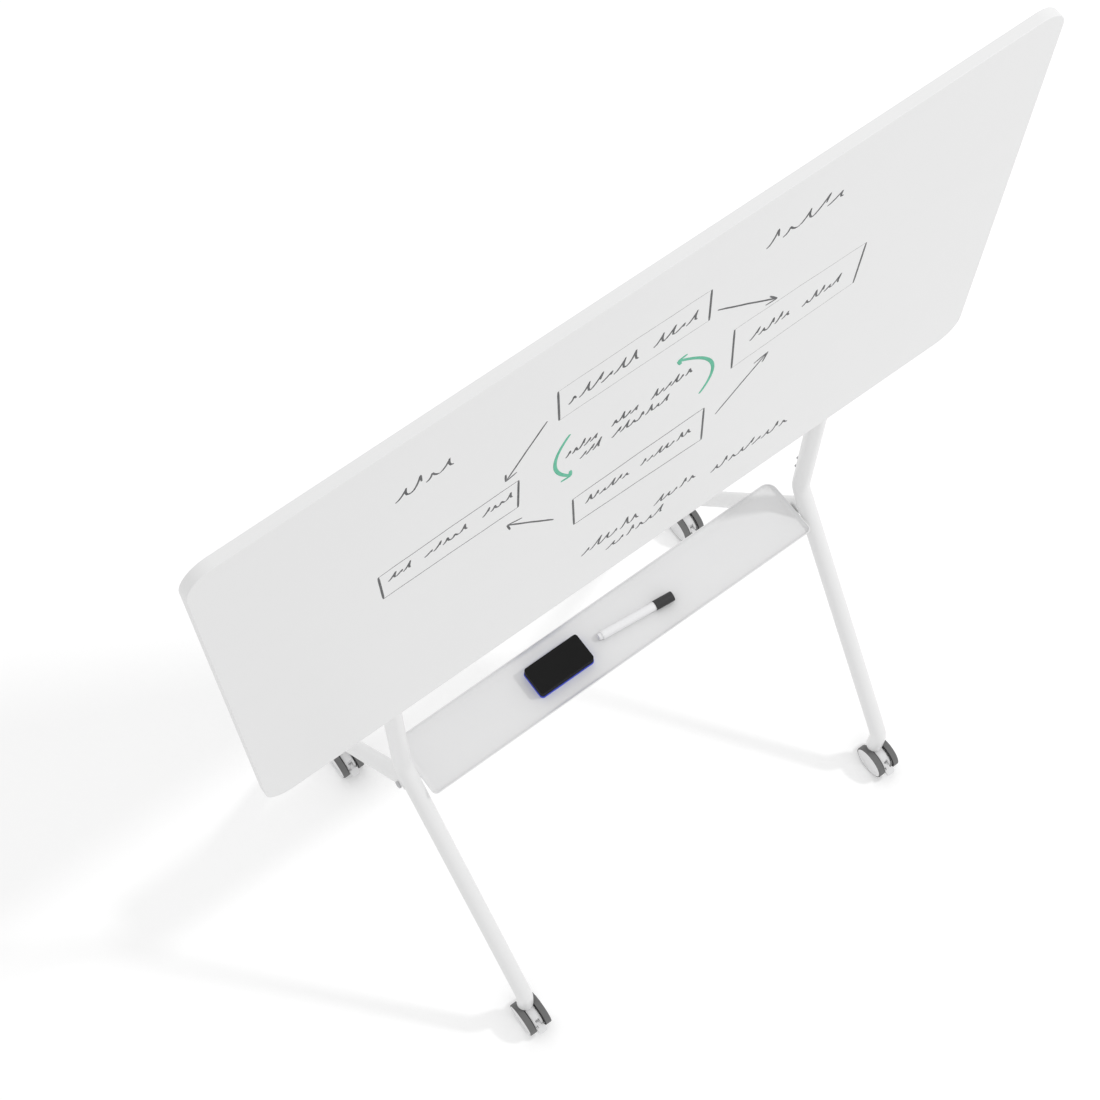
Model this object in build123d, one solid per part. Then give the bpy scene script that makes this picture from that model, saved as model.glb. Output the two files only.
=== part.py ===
from build123d import *
import math
import os

# Writing panel: a sheet-faced board with a narrow edge band, square to the floor
panel_width = 1200.0
panel_height = 800.0
panel_thickness = 15.0
panel_corner_radius = 40.0
panel_bottom_height = 991.3
panel_sheet_thickness = 0.6
panel_band_width = 2.5
panel_edge_rounding = 1.2

# Frame tubes: two side frames of round tube, each a post, a front leg and a rear leg
tube_radius = 14.25
tube_wall = 1.5
tube_bend_radius = 58.0
frame_half_width = 383.0
wheelbase = 562.0
post_setback = 302.5
post_top_margin = 100.0
knee_height = 650.0
rear_leg_joint_drop = 38.5
leg_corner_height = 119.0

# Knock-down joint between post and leg: an inner spigot held by two screws
post_joint_rise = 61.4
spigot_half_length = 42.0
spigot_wall = 2.0
spigot_clearance = 0.1
post_screw_spacing = 30.2
post_screw_radius = 2.0
post_screw_head_radius = 3.3
post_screw_head_height = 4.2
post_screw_socket_radius = 1.7
post_screw_socket_depth = 2.2
post_screw_tip = 3.0

# Plugs that close the top of each post
cap_flange_thickness = 2.0
cap_plug_depth = 18.0
plug_clearance = 0.1

# Clamps that hold the panel to the posts, with a saddle block inside each
panel_gap = 8.25
clamp_inset = 140.0
clamp_height = 30.0
clamp_thickness = 2.5
clamp_wing = 18.0
clamp_clearance = 0.1
saddle_clearance = 0.2
clamp_screw_radius = 2.0
clamp_screw_length = 13.0
clamp_screw_head_radius = 4.0
clamp_screw_head_height = 2.4

# Shelf: a shallow tray under the panel, a flat floor with a rim that curves up all round it
shelf_drop = 16.5
shelf_half_depth = 54.0
shelf_forward = 3.9
shelf_rim_height = 7.5
shelf_cove_radius = 6.5
shelf_sheet_thickness = 1.5
shelf_front_corner_radius = 9.0
shelf_back_corner_radius = 18.0
shelf_lip_rounding = 0.5
shelf_end_gap = 2.25

# Hangers: bent plates under the ends of the shelf, bolted to the rear legs
hanger_thickness = 2.0
hanger_width = 25.0
hanger_foot_length = 42.0
hanger_end_rounding = 12.0
bolt_drop = 11.0
bolt_radius = 3.0
bolt_clearance = 0.2
bolt_head_radius = 6.25
bolt_head_height = 4.0
bolt_socket_radius = 2.3
bolt_socket_depth = 2.0
nut_radius = 5.4
nut_height = 4.6
nut_dome_radius = 4.3
nut_bore_depth = 6.0

# Caster wheels: twin wheels beside a narrow hood, trailing the stem
wheel_radius = 31.2
wheel_tread_width = 12.4
wheel_side_gap = 0.8
caster_trail = 16.0
tyre_inner_radius = 27.8
tyre_edge_rounding = 1.3
hub_face_inset = 0.6
hub_dish_depth = 0.6
hub_dish_radius = 22.0
hub_face_thickness = 1.6
hub_rim_thickness = 2.4
hub_rim_inset = 0.6
hub_boss_radius = 7.0
hub_side_clearance = 0.3
hub_rib_count = 6
hub_rib_thickness = 1.6
hub_rib_depth = 7.0
axle_radius = 3.0
running_clearance = 0.05
axle_end_clearance = 0.4

# Caster hood, stem and the socket in the end of each leg
hood_half_width = 8.3
hood_radius = 25.5
hood_rise = 26.3
hood_column_half_depth = 9.0
hood_column_drop = 20.0
hood_edge_rounding = 0.8
stem_radius = 5.0
stem_depth_in_hood = 25.0
stem_height_in_socket = 26.0
collar_radius = 8.0
collar_height = 5.4
collar_clearance = 0.3
socket_flange_thickness = 2.5
socket_depth = 32.0

# Brake pedal: a lever between the hood's cheeks, with a wide tread in front of the wheels
pedal_reach = 39.0
pedal_pivot_forward = 20.5
pedal_pivot_rise = 3.0
pedal_pin_radius = 1.6
pedal_pin_half_length = 7.0
pedal_boss_radius = 3.2
pedal_arm_half_width = 3.8
pedal_slot_clearance = 0.4
pedal_tread_start = 29.0
pedal_tread_drop = 4.0
pedal_tread_thickness = 4.2
pedal_tread_corner = 4.0
pedal_tread_rounding = 1.0

# Board eraser: a block with a felt pad under it
eraser_x = -93.1
eraser_back = 0.3
eraser_length = 101.0
eraser_depth = 50.0
eraser_block_height = 15.5
eraser_felt_height = 5.5
eraser_felt_margin = 0.7
eraser_corner_radius = 5.0
eraser_edge_rounding = 1.5

# Marker pen: barrel, end plug, nib and cap on one axis, lying on the shelf
marker_x = -15.0
marker_back = 2.4
marker_yaw = -5.9
marker_rest_clearance = 0.15
marker_plug_length = 8.0
marker_barrel_length = 105.3
marker_barrel_radius = 7.0
marker_barrel_wall = 1.2
marker_neck_radius = 6.3
marker_neck_length = 11.0
marker_nose_radius = 3.2
marker_nose_length = 5.0
marker_nib_radius = 1.8
marker_nib_length = 5.0
marker_nib_root = 12.0
marker_cap_radius = 8.3
marker_cap_length = 33.0
marker_cap_end_thickness = 2.0
marker_cap_clearance = 0.3
marker_cap_rounding = 1.6

# Plan positions: the origin lies midway between the pedal tips and the rear tyres
front_stem_y = caster_trail + (pedal_reach - wheel_radius - wheelbase) / 2
rear_stem_y = front_stem_y + wheelbase
post_y = front_stem_y + post_setback
panel_back_y = post_y - tube_radius - panel_gap
panel_front_y = panel_back_y - panel_thickness
panel_centre_height = panel_bottom_height + panel_height / 2
post_top_height = panel_bottom_height + panel_height - post_top_margin
post_joint_height = knee_height + post_joint_rise
leg_slope = post_setback / (knee_height - leg_corner_height)
rear_leg_joint_height = knee_height - rear_leg_joint_drop
rear_joint_y = post_y - rear_leg_joint_drop * leg_slope
rear_slope = (rear_stem_y - rear_joint_y) / (rear_leg_joint_height - leg_corner_height)
shelf_top_height = rear_leg_joint_height - shelf_drop
bolt_height = shelf_top_height - bolt_drop
bolt_y = rear_joint_y + (rear_leg_joint_height - bolt_height) * rear_slope
shelf_y = post_y - shelf_forward
tube_bore_radius = tube_radius - tube_wall
inner_side = frame_half_width - tube_radius
hood_top_height = wheel_radius + hood_rise
flange_bottom_height = hood_top_height + collar_clearance + collar_height
leg_end_height = flange_bottom_height + socket_flange_thickness


def along_x(radius, start, end, y, z):
    """Round bar parallel to X between two X positions."""
    centre = Pos((start + end) / 2, y, z)
    return centre * Rot(0, 90, 0) * Cylinder(radius, abs(end - start))


def along_y(radius, start, end, x, z):
    """Round bar parallel to Y between two Y positions."""
    return Pos(x, (start + end) / 2, z) * Rot(90, 0, 0) * Cylinder(radius, abs(end - start))


def upright(radius, bottom, top, x, y):
    """Round bar parallel to Z between two heights."""
    return Pos(x, y, (bottom + top) / 2) * Cylinder(radius, top - bottom)


def swept_round(points, radius):
    """Round bar along straight runs joined by arcs of the tube's bend radius."""
    path = FilletPolyline(*points, radius=tube_bend_radius)
    section = Plane(origin=path @ 0, z_dir=path % 0) * Circle(radius)
    return sweep(section, path=path)


def front_leg_points(x):
    return [
        (x, post_y, post_joint_height),
        (x, post_y, knee_height),
        (x, front_stem_y, leg_corner_height),
        (x, front_stem_y, leg_end_height),
    ]


def rear_leg_points(x):
    return [
        (x, rear_joint_y, rear_leg_joint_height),
        (x, rear_stem_y, leg_corner_height),
        (x, rear_stem_y, leg_end_height),
    ]


def bolt_hole(x, radius):
    """Cross hole through the leg, on the bolt's line."""
    return along_x(radius, x - 2 * tube_radius, x + 2 * tube_radius, bolt_y, bolt_height)


def post_screw_heights():
    half = post_screw_spacing / 2
    return [post_joint_height - half, post_joint_height + half]


def post_screw_holes(side):
    """Holes through the rear wall for the two screws of one post."""
    x = side * frame_half_width
    start = post_y + post_screw_tip
    end = post_y + 2 * tube_radius
    return [along_y(post_screw_radius, start, end, x, height) for height in post_screw_heights()]


def front_leg(side):
    """Bent tube from the post joint through the knee to the front caster socket."""
    x = side * frame_half_width
    points = front_leg_points(x)
    leg = swept_round(points, tube_radius) - swept_round(points, tube_bore_radius)
    for hole in post_screw_holes(side):
        leg -= hole
    return leg


def rear_leg(side):
    """Bent tube whose top end is coped to fit against the front leg."""
    x = side * frame_half_width
    points = rear_leg_points(x)
    leg = swept_round(points, tube_radius) - swept_round(points, tube_bore_radius)
    leg -= bolt_hole(x, bolt_radius + bolt_clearance)
    return leg - swept_round(front_leg_points(x), tube_radius)


def post(side):
    """Straight tube behind the panel, closed above by a plug."""
    x = side * frame_half_width
    tube = upright(tube_radius, post_joint_height, post_top_height, x, post_y)
    tube -= upright(tube_bore_radius, post_joint_height, post_top_height, x, post_y)
    for hole in post_screw_holes(side):
        tube -= hole
    return tube


def post_spigot(side):
    """Inner sleeve that joins the post to the leg."""
    x = side * frame_half_width
    bottom = post_joint_height - spigot_half_length
    top = post_joint_height + spigot_half_length
    radius = tube_bore_radius - spigot_clearance
    sleeve = upright(radius, bottom, top, x, post_y)
    sleeve -= upright(radius - spigot_wall, bottom, top, x, post_y)
    for hole in post_screw_holes(side):
        sleeve -= hole
    return sleeve


def post_screw(side, height):
    """Socket-head screw through the rear wall of the tube and the spigot."""
    x = side * frame_half_width
    face = post_y + tube_radius
    head_end = face + post_screw_head_height
    socket_start = head_end - post_screw_socket_depth
    screw = along_y(post_screw_radius, post_y + post_screw_tip, face, x, height)
    screw += along_y(post_screw_head_radius, face, head_end, x, height)
    return screw - along_y(post_screw_socket_radius, socket_start, head_end, x, height)


def post_cap(side):
    """Moulded plug in the open top of a post."""
    x = side * frame_half_width
    plug_radius = tube_bore_radius - plug_clearance
    cap = upright(tube_radius, post_top_height, post_top_height + cap_flange_thickness, x, post_y)
    cap = fillet(cap.edges().group_by(Axis.Z)[-1], cap_flange_thickness * 0.6)
    cap += upright(plug_radius, post_top_height - cap_plug_depth, post_top_height, x, post_y)
    return cap


def clamp_heights():
    bottom = panel_bottom_height + clamp_inset
    top = panel_bottom_height + panel_height - clamp_inset
    return [bottom, top]


def clamp_screw_offset():
    """Distance of each wing screw from the post's axis."""
    return tube_radius + clamp_clearance + clamp_thickness + clamp_wing / 2


def clamp_screw_places():
    places = []
    for side in (-1, 1):
        for height in clamp_heights():
            for wing in (-1, 1):
                places.append((side * frame_half_width + wing * clamp_screw_offset(), height))
    return places


def clamp(side, height):
    """Bent strap round the back of the post, with a wing on each side against the panel."""
    inner = tube_radius + clamp_clearance
    outer = inner + clamp_thickness
    reach = post_y - panel_back_y
    mid = panel_back_y + reach / 2
    profile = Pos(0, mid) * Rectangle(2 * outer, reach)
    profile += Pos(0, post_y) * Circle(outer)
    profile += Pos(0, panel_back_y + clamp_thickness / 2) * Rectangle(
        2 * (outer + clamp_wing), clamp_thickness
    )
    profile -= Pos(0, mid) * Rectangle(2 * inner, reach)
    profile -= Pos(0, post_y) * Circle(inner)
    strap = Pos(side * frame_half_width, 0, height) * extrude(profile, clamp_height / 2, both=True)
    for x, z in clamp_screw_places():
        strap -= along_y(clamp_screw_radius, panel_back_y, post_y, x, z)
    return strap


def clamp_saddle(side, height):
    """Block that fills the gap between the panel's back and the post inside a clamp."""
    half = tube_radius - saddle_clearance
    depth = post_y - panel_back_y
    profile = Pos(0, panel_back_y + depth / 2) * Rectangle(2 * half, depth)
    profile -= Pos(0, post_y) * Circle(tube_radius)
    profile -= Pos(0, post_y) * Rectangle(4 * tube_radius, 2 * tube_radius * 0.7)
    place = Pos(side * frame_half_width, 0, height)
    return place * extrude(profile, clamp_height / 2, both=True)


def clamp_screw(x, height):
    """Pan-head screw through a clamp wing into the panel."""
    seat = panel_back_y + clamp_thickness
    screw = along_y(clamp_screw_radius, seat - clamp_screw_length, seat, x, height)
    head = along_y(clamp_screw_head_radius, seat, seat + clamp_screw_head_height, x, height)
    head = fillet(head.edges().group_by(Axis.Y)[-1], clamp_screw_head_height * 0.5)
    return screw + head


def panel_plate(front, back, inset):
    """Plate parallel to the panel's face, drawn in from the panel's outline by an inset."""
    plane = Plane(origin=(0, front, panel_centre_height), x_dir=(1, 0, 0), z_dir=(0, 1, 0))
    outline = RectangleRounded(
        panel_width - 2 * inset, panel_height - 2 * inset, panel_corner_radius - inset
    )
    return extrude(plane * outline, back - front)


def panel_screw_holes(front):
    """Pilot holes for the clamp screws, as far forward as a given plane."""
    tip = panel_back_y + clamp_thickness - clamp_screw_length
    return [
        along_y(clamp_screw_radius, max(front, tip), panel_back_y, x, z)
        for x, z in clamp_screw_places()
    ]


def panel_band():
    """Edge band round the panel, its outer edges rounded over."""
    band = panel_plate(panel_front_y, panel_back_y, 0)
    outer = band.edges().group_by(Axis.Y)[0] + band.edges().group_by(Axis.Y)[-1]
    band = fillet(outer, panel_edge_rounding)
    return band - panel_plate(panel_front_y, panel_back_y, panel_band_width)


def panel_core():
    front = panel_front_y + panel_sheet_thickness
    core = panel_plate(front, panel_back_y - panel_sheet_thickness, panel_band_width)
    for hole in panel_screw_holes(front):
        core -= hole
    return core


def panel_front_sheet():
    back = panel_front_y + panel_sheet_thickness
    return panel_plate(panel_front_y, back, panel_band_width)


def panel_back_sheet():
    front = panel_back_y - panel_sheet_thickness
    sheet = panel_plate(front, panel_back_y, panel_band_width)
    for hole in panel_screw_holes(front):
        sheet -= hole
    return sheet


def shelf_half_length():
    return inner_side - shelf_end_gap


def shelf_outline(inset):
    """Outline of the shelf in plan, drawn in from the outside of its rim by an inset."""
    outline = Rectangle(2 * (shelf_half_length() - inset), 2 * (shelf_half_depth - inset))
    front_corners = outline.vertices().group_by(Axis.Y)[0]
    outline = fillet(front_corners, shelf_front_corner_radius - inset)
    back_corners = outline.vertices().group_by(Axis.Y)[-1]
    return fillet(back_corners, shelf_back_corner_radius - inset)


def shelf_slab(inset, bottom, top):
    """Flat slab on the shelf's plan between two heights."""
    return Pos(0, shelf_y, bottom) * extrude(shelf_outline(inset), top - bottom)


def shelf_bend():
    """Width of the rim's curve in plan, from its outer side to the flat floor."""
    return shelf_cove_radius + shelf_sheet_thickness


def shelf():
    """Flat floor of the shelf, as far as the foot of its rim."""
    return shelf_slab(shelf_bend(), shelf_top_height - shelf_sheet_thickness, shelf_top_height)


def shelf_rim():
    """Rim of the same sheet as the floor, curved up in a quarter round."""
    rim_top = shelf_top_height + shelf_rim_height
    rim = shelf_slab(0, shelf_top_height - shelf_sheet_thickness, rim_top)
    rim = fillet(rim.edges().group_by(Axis.Z)[0], shelf_bend())
    hollow = shelf_slab(shelf_sheet_thickness, shelf_top_height, rim_top + shelf_rim_height)
    hollow = fillet(hollow.edges().group_by(Axis.Z)[0], shelf_cove_radius)
    rim = rim - hollow - shelf()
    return fillet(rim.edges().group_by(Axis.Z)[-1], shelf_lip_rounding)


def shelf_hanger(side):
    """Plate down the inner side of the rear leg, bent at the top to a foot under the shelf."""
    foot_top = shelf_top_height - shelf_sheet_thickness
    foot_bottom = foot_top - hanger_thickness
    outer_face = side * inner_side
    inner_face = side * (inner_side - hanger_thickness)
    blade_bottom = bolt_height - hanger_width / 2
    blade_centre = Pos((outer_face + inner_face) / 2, bolt_y, (blade_bottom + foot_top) / 2)
    blade = blade_centre * Box(hanger_thickness, hanger_width, foot_top - blade_bottom)
    low_edges = blade.edges().filter_by(Axis.X).group_by(Axis.Z)[0]
    blade = fillet(low_edges, hanger_end_rounding)
    blade -= along_x(bolt_radius + bolt_clearance, inner_face, outer_face, bolt_y, bolt_height)
    foot_centre = side * (inner_side - hanger_foot_length / 2)
    foot = Pos(foot_centre, bolt_y, (foot_bottom + foot_top) / 2) * Box(
        hanger_foot_length, hanger_width, hanger_thickness
    )
    return blade + foot


def knee_bolt(side):
    """Through bolt with a domed head on the outer side of the leg."""
    head_start = side * (frame_half_width + tube_radius)
    head_end = side * (frame_half_width + tube_radius + bolt_head_height)
    socket_start = side * (frame_half_width + tube_radius + bolt_head_height - bolt_socket_depth)
    tip = side * (inner_side - hanger_thickness - nut_bore_depth)
    head = along_x(bolt_head_radius, head_start, head_end, bolt_y, bolt_height)
    face = head.edges().group_by(Axis.X)[-1 if side > 0 else 0]
    head = fillet(face, bolt_head_height * 0.45)
    head -= along_x(bolt_socket_radius, socket_start, head_end, bolt_y, bolt_height)
    return head + along_x(bolt_radius, tip, head_start, bolt_y, bolt_height)


def knee_nut(side):
    """Domed nut on the bolt's inner end, against the hanger."""
    seat = side * (inner_side - hanger_thickness)
    crown = side * (inner_side - hanger_thickness - nut_height)
    hexagon = Plane(origin=(seat, bolt_y, bolt_height), z_dir=(-side, 0, 0))
    nut = extrude(hexagon * RegularPolygon(nut_radius, 6), nut_height)
    dome = Pos(crown, bolt_y, bolt_height) * Sphere(nut_dome_radius)
    nut += dome
    bore_end = side * (inner_side - hanger_thickness - nut_bore_depth)
    return nut - along_x(bolt_radius, seat, bore_end, bolt_y, bolt_height)


def leg_socket(x, stem_y):
    """Moulded plug in the end of a leg, bored for the caster stem."""
    top = leg_end_height + socket_depth
    plug = upright(tube_radius, flange_bottom_height, leg_end_height, x, stem_y)
    plug += upright(tube_bore_radius - plug_clearance, leg_end_height, top, x, stem_y)
    bore_top = flange_bottom_height + stem_height_in_socket
    return plug - upright(stem_radius, flange_bottom_height, bore_top, x, stem_y)


def caster_stem(x, stem_y):
    """Steel pin held in the leg, with a collar that the hood turns under."""
    bottom = hood_top_height - stem_depth_in_hood
    stem = upright(stem_radius, bottom, flange_bottom_height + stem_height_in_socket, x, stem_y)
    stem = chamfer(stem.edges().group_by(Axis.Z)[0], stem_radius * 0.2)
    collar_bottom = flange_bottom_height - collar_height
    return stem + upright(collar_radius, collar_bottom, flange_bottom_height, x, stem_y)


def caster_hood():
    """Moulded body between the wheels, slotted in front for the brake pedal."""
    wheel_disc = Pos(-caster_trail, wheel_radius) * Circle(hood_radius)
    column_height = hood_column_drop
    column = Pos(0, hood_top_height - column_height / 2) * Rectangle(
        2 * hood_column_half_depth, column_height
    )
    outline = make_hull(wheel_disc.edges() + column.edges())
    hood = extrude(Plane.YZ * outline, hood_half_width, both=True)
    rims = hood.edges().group_by(Axis.X)[0] + hood.edges().group_by(Axis.X)[-1]
    hood = fillet(rims, hood_edge_rounding)
    bore_bottom = hood_top_height - stem_depth_in_hood - axle_end_clearance
    hood -= upright(stem_radius + running_clearance, bore_bottom, 2 * hood_top_height, 0, 0)
    hood -= along_x(axle_radius, -hood_half_width, hood_half_width, -caster_trail, wheel_radius)
    slot_half = pedal_arm_half_width + pedal_slot_clearance
    slot_back = pedal_pivot_forward - pedal_boss_radius - pedal_slot_clearance
    slot_length = hood_radius
    hood -= Pos(0, -caster_trail - slot_back - slot_length / 2, wheel_radius) * Box(
        2 * slot_half, slot_length, 4 * hood_radius
    )
    pin_y, pin_z = pedal_pivot()
    pin_reach = pedal_pin_half_length + pedal_slot_clearance
    return hood - along_x(pedal_pin_radius + running_clearance, -pin_reach, pin_reach, pin_y, pin_z)


def pedal_pivot():
    """Pivot of the pedal beside the wheels' centre, as Y and Z from the stem's foot."""
    return -caster_trail - pedal_pivot_forward, wheel_radius + pedal_pivot_rise


def brake_pedal():
    """Lever low in the hood's slot that widens into a tread ahead of the wheels."""
    pin_y, pin_z = pedal_pivot()
    tip_y = -caster_trail - pedal_reach
    tread_top = wheel_radius
    tread_back_y = -caster_trail - pedal_tread_start
    lever = make_face(
        Polyline(
            (pin_y, pin_z + pedal_boss_radius),
            (tread_back_y, tread_top + pedal_tread_drop),
            (tip_y, tread_top),
            (tip_y, tread_top - pedal_tread_thickness),
            (tread_back_y, tread_top - pedal_tread_thickness),
            (pin_y, pin_z - pedal_boss_radius),
            close=True,
        )
    )
    arm_profile = lever + Pos(pin_y, pin_z) * Circle(pedal_boss_radius)
    arm = extrude(Plane.YZ * arm_profile, pedal_arm_half_width, both=True)
    tread_length = pedal_reach - pedal_tread_start
    tread_zone = Pos(-caster_trail - pedal_tread_start - tread_length / 2, wheel_radius) * Rectangle(
        tread_length, 2 * wheel_radius
    )
    tread = extrude(Plane.YZ * (lever & tread_zone), hood_half_width, both=True)
    corners = tread.edges().filter_by(Axis.Z).group_by(Axis.Y)[0]
    tread = fillet(corners, pedal_tread_corner)
    tread = fillet(tread.edges().group_by(Axis.Y)[0], pedal_tread_rounding)
    pins = along_x(pedal_pin_radius, -pedal_pin_half_length, pedal_pin_half_length, pin_y, pin_z)
    return arm + tread + pins


def wheel_inner_x():
    return hood_half_width + wheel_side_gap


def wheel_outer_x():
    return wheel_inner_x() + wheel_tread_width


def wheel_hub(side):
    """Wheel disc with a rim, a boss on the axle and ribs on its inner side."""
    inner = hood_half_width + hub_side_clearance
    face = wheel_outer_x() - hub_face_inset
    dish = face - hub_dish_depth
    back = dish - hub_face_thickness
    rim_start = wheel_inner_x() + hub_rim_inset
    rim_inner = tyre_inner_radius - hub_rim_thickness
    bore = axle_radius + running_clearance
    profile = make_face(
        Polyline(
            (inner, bore),
            (inner, hub_boss_radius),
            (back, hub_boss_radius),
            (back, rim_inner),
            (rim_start, rim_inner),
            (rim_start, tyre_inner_radius),
            (face, tyre_inner_radius),
            (face, hub_dish_radius + hub_dish_depth),
            (dish, hub_dish_radius),
            (dish, 0),
            (back, 0),
            (back, bore),
            close=True,
        )
    )
    hub = revolve(profile, Axis.X)
    rib_start = hub_boss_radius * 0.8
    rib_length = rim_inner + hub_rim_thickness * 0.4 - rib_start
    for index in range(hub_rib_count):
        rib = Pos(back - hub_rib_depth / 2, 0, rib_start + rib_length / 2) * Box(
            hub_rib_depth, hub_rib_thickness, rib_length
        )
        hub += Rot(360 / hub_rib_count * index, 0, 0) * rib
    return seat_wheel(hub, side)


def wheel_tyre(side):
    """Tyre with rounded shoulders, seated on the hub's rim."""
    tyre = along_x(wheel_radius, wheel_inner_x(), wheel_outer_x(), 0, 0)
    tyre = fillet(tyre.edges().filter_by(GeomType.CIRCLE), tyre_edge_rounding)
    tyre -= along_x(tyre_inner_radius, wheel_inner_x(), wheel_outer_x(), 0, 0)
    return seat_wheel(tyre, side)


def seat_wheel(shape, side):
    """Turn a right-hand wheel piece to its side and put it on the axle."""
    turn = Rot(0, 0, 0 if side > 0 else 180)
    return Pos(0, -caster_trail, wheel_radius) * turn * shape


def caster_axle():
    """Pin pressed through the hood, its ends inside the hubs."""
    end = wheel_outer_x() - hub_face_inset - hub_dish_depth - hub_face_thickness
    end -= axle_end_clearance
    return along_x(axle_radius, -end, end, -caster_trail, wheel_radius)


def eraser_outline(margin):
    return RectangleRounded(
        eraser_length + 2 * margin, eraser_depth + 2 * margin, eraser_corner_radius + margin
    )


def eraser_felt():
    place = Pos(eraser_x, shelf_y + eraser_back, shelf_top_height)
    return place * extrude(eraser_outline(eraser_felt_margin), eraser_felt_height)


def eraser_block():
    place = Pos(eraser_x, shelf_y + eraser_back, shelf_top_height + eraser_felt_height)
    block = extrude(eraser_outline(0), eraser_block_height)
    return place * fillet(block.edges().group_by(Axis.Z)[-1], eraser_edge_rounding)


def marker_place():
    """Place of the marker's plug end: it lies on the shelf, propped up a little by its cap."""
    span = marker_shoulder() + marker_cap_clearance
    tilt = math.degrees(math.atan2(marker_cap_radius - marker_barrel_radius, span))
    radius = marker_barrel_radius + marker_rest_clearance
    height = shelf_top_height + radius / math.cos(math.radians(tilt))
    lift = Pos(marker_x, shelf_y + marker_back, height)
    return lift * Rot(0, 0, marker_yaw) * Rot(0, -tilt, 0)


def marker_turned(points):
    """Solid of revolution about the marker's axis from a profile of length and radius."""
    profile = make_face(Polyline(*points, close=True))
    return marker_place() * revolve(profile, Axis.X)


def marker_shoulder():
    """Length along the marker where the barrel steps down inside the cap."""
    return marker_plug_length + marker_barrel_length - marker_neck_length


def marker_barrel():
    start = marker_plug_length
    shoulder = marker_shoulder()
    neck_end = shoulder + marker_neck_length
    nose_end = neck_end + marker_nose_length
    bore = marker_barrel_radius - marker_barrel_wall
    return marker_turned(
        [
            (start, bore),
            (start, marker_barrel_radius),
            (shoulder, marker_barrel_radius),
            (shoulder, marker_neck_radius),
            (neck_end, marker_neck_radius),
            (nose_end, marker_nose_radius),
            (nose_end, marker_nib_radius),
            (neck_end, marker_nib_radius),
            (neck_end, bore - marker_barrel_wall),
            (shoulder, bore - marker_barrel_wall),
            (shoulder, bore),
        ]
    )


def marker_plug():
    """Stopper in the open end of the barrel."""
    bore = marker_barrel_radius - marker_barrel_wall
    edge = marker_barrel_wall * 0.5
    return marker_turned(
        [
            (0, 0),
            (0, marker_barrel_radius - edge),
            (edge, marker_barrel_radius),
            (marker_plug_length, marker_barrel_radius),
            (marker_plug_length, bore),
            (2 * marker_plug_length, bore),
            (2 * marker_plug_length, 0),
        ]
    )


def marker_nib():
    """Writing nib, its root held in the nose of the barrel."""
    nose_end = marker_plug_length + marker_barrel_length + marker_nose_length
    tip = nose_end + marker_nib_length
    return marker_turned(
        [
            (nose_end - marker_nib_root, 0),
            (nose_end - marker_nib_root, marker_nib_radius),
            (tip - marker_nib_radius, marker_nib_radius),
            (tip, marker_nib_radius * 0.4),
            (tip, 0),
        ]
    )


def marker_cap():
    """Cap over the neck, nose and nib, with a closed rounded end."""
    mouth = marker_shoulder() + marker_cap_clearance
    end = mouth + marker_cap_length
    cavity_end = end - marker_cap_end_thickness
    cavity = marker_neck_radius + marker_cap_clearance
    shell = marker_turned([(mouth, 0), (mouth, marker_cap_radius), (end, marker_cap_radius), (end, 0)])
    far_rim = shell.edges().filter_by(GeomType.CIRCLE).sort_by(Axis.X)[-1]
    shell = fillet(far_rim, marker_cap_rounding)
    return shell - marker_turned([(mouth, 0), (mouth, cavity), (cavity_end, cavity), (cavity_end, 0)])


def write(name, *solids):
    """Write one node as a STEP file, a group of separate solids where there are several."""
    shape = solids[0] if len(solids) == 1 else Compound(children=list(solids))
    export_step(shape, os.path.join("parts", name + ".step"))


os.makedirs("parts", exist_ok=True)

sides = {"left": -1, "right": 1}
caster_places = {
    "front_left": (-1, front_stem_y),
    "front_right": (1, front_stem_y),
    "rear_left": (-1, rear_stem_y),
    "rear_right": (1, rear_stem_y),
}

write("panel_front_sheet", panel_front_sheet())
write("panel_core", panel_core())
write("panel_back_sheet", panel_back_sheet())
write("panel_edge_band", panel_band())

for name, side in sides.items():
    write("post_" + name, post(side))
    write("front_leg_" + name, front_leg(side))
    write("rear_leg_" + name, rear_leg(side))
    write("shelf_hanger_" + name, shelf_hanger(side))

write("post_spigots", *[post_spigot(side) for side in sides.values()])
write("post_caps", *[post_cap(side) for side in sides.values()])
write("knee_bolts", *[knee_bolt(side) for side in sides.values()])
write("knee_nuts", *[knee_nut(side) for side in sides.values()])
post_screws = [
    post_screw(side, height) for side in sides.values() for height in post_screw_heights()
]
write("post_screws", *post_screws)
clamp_places = [(side, height) for side in sides.values() for height in clamp_heights()]
write("panel_clamps", *[clamp(side, height) for side, height in clamp_places])
write("clamp_saddles", *[clamp_saddle(side, height) for side, height in clamp_places])
write("clamp_screws", *[clamp_screw(x, z) for x, z in clamp_screw_places()])
write("shelf", shelf())
write("shelf_rim", shelf_rim())

stem_places = [(side * frame_half_width, y) for side, y in caster_places.values()]
write("leg_sockets", *[leg_socket(x, y) for x, y in stem_places])
write("caster_stems", *[caster_stem(x, y) for x, y in stem_places])

caster_pieces = {
    "hood": caster_hood(),
    "axle": caster_axle(),
    "brake_pedal": brake_pedal(),
    "hub_left": wheel_hub(-1),
    "hub_right": wheel_hub(1),
    "tyre_left": wheel_tyre(-1),
    "tyre_right": wheel_tyre(1),
}
for place, (side, stem_y) in caster_places.items():
    for piece, shape in caster_pieces.items():
        write(place + "_" + piece, Pos(side * frame_half_width, stem_y, 0) * shape)

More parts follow.
